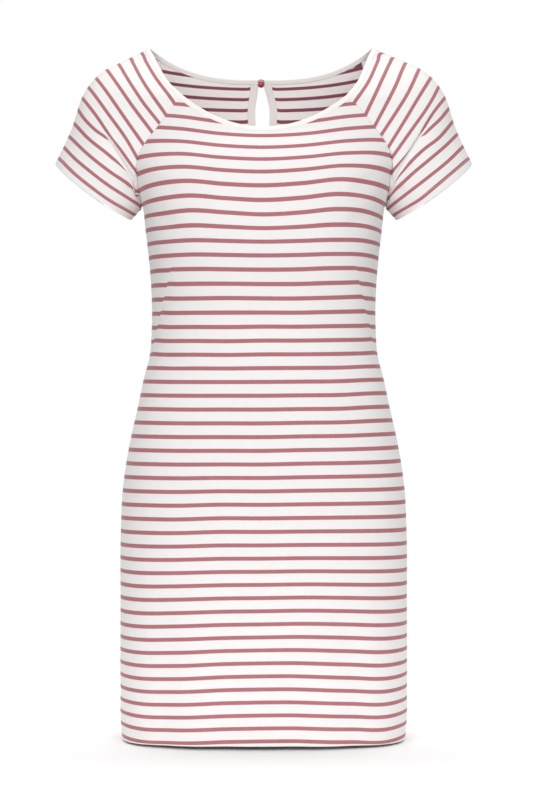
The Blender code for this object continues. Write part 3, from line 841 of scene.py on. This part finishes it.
# Two shades of each yarn. On the wrong side of the cloth the rose yarn shows darker, and its white is painted
# lighter than the right side's white, as painted light on the shaded inside of the dress.
jerseyColours = {
    "white": ("#ebe9e8", "#e6e3e2"),
    "rose": ("#b07076", "#a7696f"),
    "band": ("#f2eeec", "#ede8e5"),
    "wrongWhitePaintedLighter": ("#fbf6f4", "#f5efec"),
    "wrongRose": ("#8f5062", "#844958"),
}
knit = {
    "stitchWidth": 0.0016,  # a real stitch is about half this size, drawn coarse enough to show
    "stitchHeight": 0.0012,
    "climb": 0.8,  # how steeply the legs of a V climb on both sides of its middle
    "wrongClimb": 0.3,  # an arc on the wrong side climbs less
    "relief": 0.00012,
    "cloudScale": 90.0,  # shades of yarn over about 11 mm
    "fuzzScale": 900.0,  # loose fibres over about 1 mm
    "ragged": 0.03,  # how uneven a stripe's edge is, of the distance between two stripes
    "roughness": 0.88,
    "specular": 0.25,
    "sheen": 0.15,
    "sheenRoughness": 0.5,
}


def linear(hexColour):
    channels = [int(hexColour[place:place + 2], 16) / 255 for place in (1, 3, 5)]
    return tuple(c / 12.92 if c <= 0.04045 else ((c + 0.055) / 1.055) ** 2.4 for c in channels) + (1.0,)


def addNode(tree, kind, inputs=None, **settings):
    # an input is a value, another node's socket, or a node whose first output is meant
    node = tree.nodes.new("ShaderNode" + kind)
    for name, value in settings.items():
        setattr(node, name, value)
    for socket, value in (inputs or {}).items():
        if isinstance(value, bpy.types.Node):
            value = value.outputs[0]
        if isinstance(value, bpy.types.NodeSocket):
            tree.links.new(value, node.inputs[socket])
        else:
            node.inputs[socket].default_value = value
    return node


def startMaterial(name, values):
    material = bpy.data.materials.new(name)
    material.use_nodes = True
    shader = material.node_tree.nodes["Principled BSDF"]
    for socket, value in values.items():
        shader.inputs[socket].default_value = value
    return material, material.node_tree, shader


def makeJersey(name, striped, wrongSide):
    # cotton single jersey: its right side has fine upright V stitches, its wrong side level arcs,
    # and loose fibres give it a soft sheen with no gloss
    material, tree, shader = startMaterial(name, {
        "Roughness": knit["roughness"],
        "Specular IOR Level": knit["specular"],
        "Sheen Weight": knit["sheen"],
        "Sheen Roughness": knit["sheenRoughness"],
    })
    split = addNode(tree, "SeparateXYZ", {0: addNode(tree, "UVMap", uv_map="cloth")})
    across, number = split.outputs[0], split.outputs[1]
    place = addNode(tree, "TexCoord").outputs["Object"]
    cloud = addNode(tree, "TexNoise", {"Vector": place, "Scale": knit["cloudScale"], "Detail": 4.0})
    fuzz = addNode(tree, "TexNoise", {"Vector": place, "Scale": knit["fuzzScale"], "Detail": 2.0})
    wales = addNode(tree, "Math", {0: across, 1: 1 / knit["stitchWidth"]}, operation="MULTIPLY")
    half = addNode(tree, "Math", {0: wales, 1: 1.0}, operation="PINGPONG")
    climb = knit["wrongClimb" if wrongSide else "climb"]
    leg = addNode(tree, "Math", {0: half, 1: climb}, operation="MULTIPLY")
    perStripe = stripes["pitch"] / knit["stitchHeight"]
    course = addNode(tree, "Math", {0: number, 1: perStripe, 2: leg}, operation="MULTIPLY_ADD")
    loop = addNode(tree, "Math", {0: course, 1: 0.5}, operation="PINGPONG")
    rib = addNode(tree, "Math", {0: half, 1: 0.5}, operation="SUBTRACT")
    ribSize = addNode(tree, "Math", {0: rib}, operation="ABSOLUTE")
    relief = addNode(tree, "Math", {0: loop, 1: ribSize}, operation="SUBTRACT")
    rough = addNode(tree, "Math", {0: fuzz, 1: 0.5, 2: relief}, operation="MULTIPLY_ADD")
    bump = addNode(tree, "Bump", {"Height": rough, "Distance": knit["relief"], "Strength": 0.6})
    # the wrong side takes the white that is painted lighter, as painted light for the shaded inside
    white, rose = ("wrongWhitePaintedLighter", "wrongRose") if wrongSide else ("white" if striped else "band", "rose")
    dyed = []
    for yarn in (white, rose) if striped else (white,):
        shade, deeper = (linear(colour) for colour in jerseyColours[yarn])
        mixed = addNode(tree, "Mix", {"Factor": cloud, 6: shade, 7: deeper}, data_type="RGBA")
        dyed.append(mixed.outputs[2])
    colour = dyed[0]
    if striped:
        # the distance to the nearest whole number is the distance to a stripe's middle
        nearest = addNode(tree, "Math", {0: number}, operation="ROUND")
        apart = addNode(tree, "Math", {0: number, 1: nearest}, operation="SUBTRACT")
        size = addNode(tree, "Math", {0: apart}, operation="ABSOLUTE")
        ragged = addNode(tree, "Math", {0: fuzz, 1: knit["ragged"], 2: size}, operation="MULTIPLY_ADD")
        half = stripes["width"] / 2
        edge = addNode(tree, "MapRange", {0: ragged, 1: half, 2: half + knit["ragged"], 3: 1.0, 4: 0.0})
        # a fold covers part of one stripe on each sleeve
        covered = addNode(tree, "Attribute", attribute_name="covered").outputs["Fac"]
        bare = addNode(tree, "Math", {0: 1.0, 1: covered}, operation="SUBTRACT")
        shown = addNode(tree, "Math", {0: edge, 1: bare}, operation="MULTIPLY")
        colour = addNode(tree, "Mix", {"Factor": shown, 6: dyed[0], 7: dyed[1]}, data_type="RGBA").outputs[2]
    tree.links.new(colour, shader.inputs["Base Color"])
    tree.links.new(bump.outputs[0], shader.inputs["Normal"])
    return material


thread = {
    "white": "#efe9e6",
    "grey": "#a89f9f",
    "roughness": 0.6,
    "sheen": 0.1,
    "twistScale": 2500.0,  # fibres of about 0.4 mm
    "relief": 0.0001,
}


def makeThread(name, colour):
    # spun polyester thread: smoother and a little shinier than the jersey
    material, tree, shader = startMaterial(name, {
        "Base Color": linear(thread[colour]),
        "Roughness": thread["roughness"],
        "Sheen Weight": thread["sheen"],
    })
    place = addNode(tree, "TexCoord").outputs["Object"]
    twist = addNode(tree, "TexNoise", {"Vector": place, "Scale": thread["twistScale"], "Detail": 1.0})
    bump = addNode(tree, "Bump", {"Height": twist, "Distance": thread["relief"], "Strength": 0.4})
    tree.links.new(bump.outputs[0], shader.inputs["Normal"])
    return material


# The last material of each is the wrong side's
stripedJersey = {
    "slot": "striped_jersey",
    "materials": (makeJersey("stripedJersey", True, False), makeJersey("stripedJerseyWrongSidePaintedLight", True, True)),
}
whiteJersey = {"slot": "white_jersey", "materials": (makeJersey("whiteJersey", False, False),)}
whiteThread = {"slot": "white_jersey", "materials": (makeThread("whiteThread", "white"),)}
print("made the cloth and thread")


def makeStitches(name, runs):
    # a stretched ball of thread for each stitch, half sunk in the cloth
    shape = bmesh.new()
    size = stitching["length"]
    half = stitching["thread"] / 2
    for points, outward in runs:
        length = lengthAlong(points)
        for start in np.arange(stitching["gap"], length[-1] - size, size + stitching["gap"]):
            first, last, out = (
                Vector([np.interp(at, length, values[:, axis]) for axis in range(3)])
                for at, values in ((start, points), (start + size, points), (start, outward))
            )
            along = (last - first).normalized()
            side = out.cross(along).normalized()
            out = along.cross(side)
            turned = Matrix((along * size / 2, side * half, out * half)).transposed().to_4x4()
            place = Matrix.Translation((first + last) / 2) @ turned
            bmesh.ops.create_icosphere(shape, subdivisions=1, radius=1.0, matrix=place)
    return finishPiece(name, shape, whiteThread)


binding = {
    "width": 0.0062,
    "proud": 0.0008,
    "inside": 0.0018,
    "thickness": 0.0006,
    "foldHeight": 0.0016,
    "foldStep": 20,  # degrees between the rows round its fold
    "flatFrom": 0.0022,  # from the neck edge down to its flat part
    "flatRows": 6,
    "direction": 0.004,  # how far down the cloth its way is taken from
    "clothInside": 0.0004,  # from the cloth's right side to a point within the fold
    "clothBelowEdge": 0.0020,
    "stitchesAt": 0.0048,  # below its folded edge
    "knitSpan": 0.9,  # how far its knit runs, in distances between stripes
}


def stepDown(grid, distance, row, nextRow):
    way = grid[nextRow] - grid[row]
    return grid[row] + unit(way) * distance


def pressPanel(grid, flat, inward, fromSeam, side, seams):
    # creases that stay clear of the seams and the neck, stitched hem, seams, and the edge that the
    # binding covers
    fromNeck = np.linalg.norm(grid - grid[-1:], axis=2)
    share = ease(fromSeam / foldReach["clearOfSeam"]) * ease(fromNeck / foldReach["clearOfSeam"])
    points = pressFolds(grid, flat[..., (0, 2)], inward, bodyCreases[side], share, fades=True)
    points = pressFolds(points, flat[..., (0, 2)], inward, skirtFlutes[side], share)
    points[: underarmRow + 1] += inward[: underarmRow + 1] * pullStitches(skirtUp)[:, None, None]
    points[:, seams] += inward[:, seams] * cloth["seamDip"]
    points[:, :, 1] += cloth["halfSeamGap"] * (-1 if side == "front" else 1)
    points[-1] = stepDown(points, binding["clothBelowEdge"], -1, -2)
    return points


def hemStitchRuns(points, inward):
    return [(points[np.searchsorted(skirtUp, above)], -inward[0]) for above in stitching["rowsAbove"]]


# The panels and sleeves, before any seam or fold is pressed in
frontFlat = frontGrid()
front = leanOver(frontFlat)
backFlats = {hand: backGrid(hand) for hand in (-1, 1)}
backs = {hand: leanOver(backFlats[hand]) for hand in (-1, 1)}
sleeves = {hand: sleeveGrid(front, backs[hand], hand) for hand in (-1, 1)}

# The front, with its darts
number = frontStripe(frontFlat[..., 0], frontFlat[..., 2])
inward = inwardNormals(front)
across = lengthAcross(front, halfColumns)
fromSeam = np.minimum(across - across[:, :1], across[:, -1:] - across)
points = pressPanel(front, frontFlat, inward, fromSeam, "front", (0, -1))
for hand in (-1, 1):
    beyond, past, along = besideLine(frontFlat[..., (0, 2)] * np.array((hand, 1.0)), darts["line"])
    sewn = np.exp(-((past / darts["stepWidth"]) ** 2)) * ease((1 - along) / darts["fades"])
    shift = np.sign(beyond) * np.exp(-((beyond / darts["stepWidth"]) ** 2)) * sewn
    number = number - shift * darts["stripeStep"] / 2 / stripes["pitch"]
    groove = darts["groove"] * np.exp(-((beyond / darts["grooveWidth"]) ** 2)) * sewn
    points += inward * groove[..., None]
hemRuns = hemStitchRuns(points, inward)
points, number = turnHem(points, number, inward)
patch = clothPatch(points, addHemRows(across, points), number)
frontPanel = makeCloth("front_panel_cloth", [patch], stripedJersey)
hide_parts("front_panel")

# The back, in two halves that meet above and below the keyhole
patches = []
for hand in (-1, 1):
    grid = backs[hand]
    flat = backFlats[hand]
    reach = np.array([seamReach(height, "back", hand) for height in backSideHeights()])[:, None]
    number = backStripe(flat[..., 0], flat[..., 2], flat[..., 0] / reach)
    # beside the keyhole the stripes turn up a little where the facing is sewn on
    besideSlit = np.abs(flat[..., 0] - flat[:, -1:, 0]) - keyhole["facingWidth"]
    slit = ease((flat[..., 2] - keyhole["top"] + keyhole["length"]) / keyhole["liftOver"])
    number = number + keyhole["stripeLift"] * np.exp(-((besideSlit / keyhole["liftWidth"]) ** 2)) * slit
    inward = inwardNormals(grid)
    across = -hand * lengthAcross(grid, grid.shape[1] - 1)
    points = pressPanel(grid, flat, inward, np.abs(across - across[:, :1]), "back", (0,))
    hemRuns += hemStitchRuns(points, inward)
    points, number = turnHem(points, number, inward)
    patches.append(clothPatch(points, addHemRows(across, points), number))
backPanel = makeCloth("back_panel_cloth", patches, stripedJersey)
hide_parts("back_panel")
makeStitches("hem_stitching", hemRuns)

# The sleeves
neck = slice(cloth["seamColumns"], cloth["seamColumns"] + cloth["shoulderColumns"] + 1)
for hand, side in ((-1, "left"), (1, "right")):
    grid = sleeves[hand]
    centres = grid.mean(axis=1, keepdims=True)
    inward = inwardNormals(grid, centres, closedRound=True)
    clear = ease(np.linspace(0.0, 1.0, len(grid)) / foldReach["clearOfRaglan"])[:, None]
    flat = np.stack((grid[..., 0] * hand, grid[..., 2]), axis=2)
    number, cover = sleeveNumbers(grid, hand)
    points = grid
    for facing, isHere in (("front", grid[..., 1] < 0), ("back", grid[..., 1] > 0)):
        onSide = ease(np.abs(grid[..., 1]) / foldReach["clearOfOutline"]) * isHere
        points = pressFolds(points, flat, inward, sleeveFolds[hand, facing], clear * onSide)
    fromCuff = lengthAcross(grid[::-1].swapaxes(0, 1)).T[::-1]
    points = points + inward * pullStitches(fromCuff)[..., None]
    points[0] += inward[0] * cloth["seamDip"]
    points[0, neck] = stepDown(points, binding["clothBelowEdge"], 0, 1)[neck]
    runs = []
    for above in stitching["rowsAbove"]:
        run = [[np.interp(above, fromCuff[::-1, column], points[::-1, column, axis]) for axis in range(3)]
               for column in range(points.shape[1])]
        runs.append((np.array(run), -inward[-1]))
    # the rows run from the seam to the cuff, so they are turned about for the hem
    turned, number = turnHem(points[::-1], number[::-1], inward[::-1])
    across = addHemRows(lengthAcross(grid)[::-1], turned)
    cover = addHemRows(cover[::-1], turned)
    patch = clothPatch(turned, across, number, centres[::-1].mean(axis=0), cover, closedRound=True)
    makeCloth(side + "_sleeve_cloth", [patch], stripedJersey)
    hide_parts(side + "_sleeve")
    makeStitches(side + "_cuff_stitching", runs)


# The binding, folded over the whole neck edge from one side of the keyhole to the other
def neckRow(distance):
    overNeck = slice(neck.start + 1, neck.stop - 1)
    leftBack, rightBack = (stepDown(backs[hand], distance, -1, -2) for hand in (-1, 1))
    leftSleeve, rightSleeve = (stepDown(sleeves[hand], distance, 0, 1)[overNeck] for hand in (-1, 1))
    acrossFront = stepDown(front, distance, -1, -2)
    return np.vstack((leftBack[::-1], leftSleeve[::-1], acrossFront, rightSleeve, rightBack))


edge = neckRow(0.0)
down = unit(neckRow(binding["direction"]) - edge)
below = edge + down * binding["direction"]
inward = inwardNormals(np.array((below, edge)), np.array((0.0, 0.0, bodyForm["underarm"])))[1]
halfWide = (binding["proud"] + binding["inside"]) / 2
flatPart = np.linspace(binding["width"], binding["flatFrom"], binding["flatRows"])
rows = [edge + down * distance - inward * binding["proud"] for distance in flatPart]
for angle in range(0, 181, binding["foldStep"]):
    turn = math.radians(angle)
    sideways = -binding["proud"] + halfWide * (1 - math.cos(turn))
    rows.append(edge + down * binding["foldHeight"] * (1 - math.sin(turn)) + inward * sideways)
rows += [edge + down * distance + inward * binding["inside"] for distance in flatPart[::-1]]
points = np.array(rows)
across = np.repeat(lengthAlong(edge)[None], len(points), axis=0)
number = np.repeat(np.linspace(0.0, binding["knitSpan"], len(points))[:, None], len(edge), axis=1)
# any point inside the fold is on the wrong side
insideFold = below + inward * binding["clothInside"]
patch = clothPatch(points, across, number, np.array([insideFold] * len(points)))
bindingPiece = makeCloth("neck_binding_band", [patch], whiteJersey, binding["thickness"])
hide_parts("neck_binding")
stitchLine = edge + down * binding["stitchesAt"]
makeStitches("binding_stitching", [
    (stitchLine - inward * binding["proud"], -inward),
    (stitchLine + inward * binding["inside"], inward),
])

# The facing round the inside of the keyhole. Each row of its form, from the slit's rolled edge to
# its own edge, is a distance from the slit and a lift off the back panel.
keyholeFacing = {
    "form": ((-0.0003, 0.0004), (-0.0003, 0.0010), (0.0003, 0.0013), (0.0022, 0.0013),
             (0.0048, 0.0013), (0.0078, 0.0013), (0.0088, 0.0015)),
    "thickness": 0.0007,
    "belowTop": 0.0006,
    "stitchesAt": 0.0034,
    "stitchLift": 0.0021,
    "sideColumns": 40,
    "knitSpan": 0.5,
}
height = downKeyhole(keyholeFacing["sideColumns"])
left, right = (np.stack((keyholeMiddle(height) + hand * keyholeHalfWidth(height), height), axis=1)
               for hand in (-1, 1))
path = np.vstack((left, right[-2::-1]))
way = unit(np.gradient(path, axis=0))
away = np.stack((way[:, 1], -way[:, 0]), axis=1)


def facingRow(distance, lift):
    place = path + away * distance
    level = np.minimum(place[:, 1], keyhole["top"] - keyholeFacing["belowTop"])
    depth = bodyDepth(place[:, 0], level, "back") - lift
    return leanOver(np.stack((place[:, 0], depth, level), axis=1))


points = np.array([facingRow(distance, lift) for distance, lift in keyholeFacing["form"]])
number = np.linspace(0.0, keyholeFacing["knitSpan"], len(points))
number = np.repeat(number[:, None], points.shape[1], axis=1)
patch = clothPatch(points, lengthAcross(points), number)
facing = makeCloth("keyhole_facing_band", [patch], whiteJersey, keyholeFacing["thickness"])
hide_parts("keyhole_facing")
outwards = np.repeat(np.array(((0.0, 1.0, 0.0),)), len(path), axis=0)
makeStitches("keyhole_stitching", [
    (facingRow(keyholeFacing["stitchesAt"], keyholeFacing["stitchLift"]), -outwards),
    (facingRow(keyholeFacing["stitchesAt"], -cloth["halfSeamGap"]), outwards),
])

# The ball button
button = {
    "radius": 0.0044,
    "sunk": 0.0006,  # into the back's cloth
    "colour": "#96283a",
    "swirl": "#b03a4e",
    "swirlScale": 260.0,  # about 4 mm across
    "roughness": 0.24,
    "coat": 0.7,
    "coatRoughness": 0.08,
}
across = keyholeMiddle(keyhole["top"])
depth = bodyDepth(across, keyhole["top"], "back") - button["sunk"]
buttonPlace = leanOver((float(across), float(depth), keyhole["top"]))
# cast polyester resin: deep colour with a faint swirl under a glossy skin
buttonGloss, tree, shader = startMaterial("redResinGloss", {
    "Roughness": button["roughness"],
    "Coat Weight": button["coat"],
    "Coat Roughness": button["coatRoughness"],
})
place = addNode(tree, "TexCoord").outputs["Object"]
swirl = addNode(tree, "TexNoise", {"Vector": place, "Scale": button["swirlScale"], "Detail": 3.0,
                                   "Distortion": 1.5})
tones = {"Factor": swirl, 6: linear(button["colour"]), 7: linear(button["swirl"])}
tone = addNode(tree, "Mix", tones, data_type="RGBA")
tree.links.new(tone.outputs[2], shader.inputs["Base Color"])
shape = bmesh.new()
bmesh.ops.create_uvsphere(shape, u_segments=48, v_segments=32, radius=button["radius"],
                          matrix=Matrix.Translation(buttonPlace))
buttonPiece = finishPiece("ball_button", shape, {"slot": "red_button", "materials": (buttonGloss,)})
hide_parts("button")

# The loop at the end of the binding, which goes round the button
loopCord = {
    "radius": 0.0008,
    "openAngle": 28,  # degrees, half of the opening between its ends
    "tail": 0.0035,
    "clearance": 0.0003,  # between the cord and the button
    "lift": 0.001,
    "points": 40,
}
heights = np.array((keyhole["top"] - button["radius"], keyhole["top"]))
slope = float(-np.diff(bodyDepth(0.0, heights, "back"))[0])
up = Vector((0.0, -slope, button["radius"])).normalized()
out = Vector((0.0, up.z, -up.y))
clear = loopCord["clearance"] + loopCord["radius"]
lift = loopCord["lift"] + clear
radius = math.sqrt((button["radius"] + clear) ** 2 - lift ** 2)
middle = Vector(buttonPlace) + out * lift
openAngle = math.radians(loopCord["openAngle"])
turns = np.linspace(math.pi - openAngle, openAngle - math.pi, loopCord["points"])
route = [middle + radius * (Vector((math.cos(turn), 0, 0)) + up * math.sin(turn)) for turn in turns]
tail = Vector((-loopCord["tail"], 0.0, 0.0))
route = [route[0] + tail] + route + [route[-1] + tail]
curve = bpy.data.curves.new("button_loop_cord", "CURVE")
curve.dimensions = "3D"
curve.bevel_depth = loopCord["radius"]
curve.bevel_resolution = 4
curve.use_fill_caps = True
spline = curve.splines.new("POLY")
spline.points.add(len(route) - 1)
for point, place in zip(spline.points, route):
    point.co = (*place, 1.0)
# the loop cord is coloured mid grey, darker than the white binding
curve.materials.append(makeThread("greyLoopCord", "grey"))
loopPiece = bpy.data.objects.new("button_loop_cord", curve)
bpy.context.scene.collection.objects.link(loopPiece)
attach(loopPiece, "root")
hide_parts("button_loop")
print("made the closure")

# A white studio: an even room, a wide light low in front, one overhead and one low behind.
# Each light has its place, aim, width and height, and watts.
studio = {
    "floorGap": 0.002,  # below the hem
    "floorRadius": 0.6,
    "floor": "#fafafa",
    "room": 0.31,
    "backdrop": 1.0,
    "lights": {
        "frontSoftbox": ((0.0, -2.6, 0.5), (0.0, 0.0, -0.25), (4.4, 1.3), 80.0),
        "topSoftbox": ((0.0, 1.0, 3.0), (0.0, 0.0, -0.85), (7.5, 1.2), 108.0),
        "floorSoftbox": ((0.0, 1.6, -0.15), (0.0, 0.0, -0.87), (5.0, 0.7), 25.0),
    },
}
floorMesh = bpy.data.meshes.new("studio_floor")
shape = bmesh.new()
bmesh.ops.create_circle(shape, cap_ends=True, segments=96, radius=studio["floorRadius"],
                        matrix=Matrix.Translation((0, 0, bodyForm["hem"] - studio["floorGap"])))
shape.to_mesh(floorMesh)
shape.free()
# matt painted board, with no gloss to mirror the dress
floorPaint = startMaterial("whiteFloorPaint", {
    "Base Color": linear(studio["floor"]),
    "Roughness": 0.9,
    "Specular IOR Level": 0.1,
})[0]
floorMesh.materials.append(floorPaint)
floor = bpy.data.objects.new("studio_floor", floorMesh)
bpy.context.scene.collection.objects.link(floor)

# the backdrop is whiter than the light that the room gives
world = bpy.data.worlds.new("whiteRoom")
bpy.context.scene.world = world
world.use_nodes = True
tree = world.node_tree
seen = addNode(tree, "LightPath").outputs["Is Camera Ray"]
room = addNode(tree, "Background", {"Color": (1, 1, 1, 1), "Strength": studio["room"]})
backdrop = addNode(tree, "Background", {"Color": (1, 1, 1, 1), "Strength": studio["backdrop"]})
both = addNode(tree, "MixShader", {0: seen, 1: room, 2: backdrop})
tree.links.new(both.outputs[0], tree.nodes["World Output"].inputs["Surface"])

for name, (place, aim, size, watts) in studio["lights"].items():
    data = bpy.data.lights.new(name, "AREA")
    data.shape = "RECTANGLE"
    data.size, data.size_y = size
    data.energy = watts
    light = bpy.data.objects.new(name, data)
    light.location = place
    light.rotation_euler = (Vector(aim) - Vector(place)).to_track_quat("-Z", "Y").to_euler()
    bpy.context.scene.collection.objects.link(light)
bpy.context.scene.view_settings.view_transform = "Standard"
print("lit the studio")
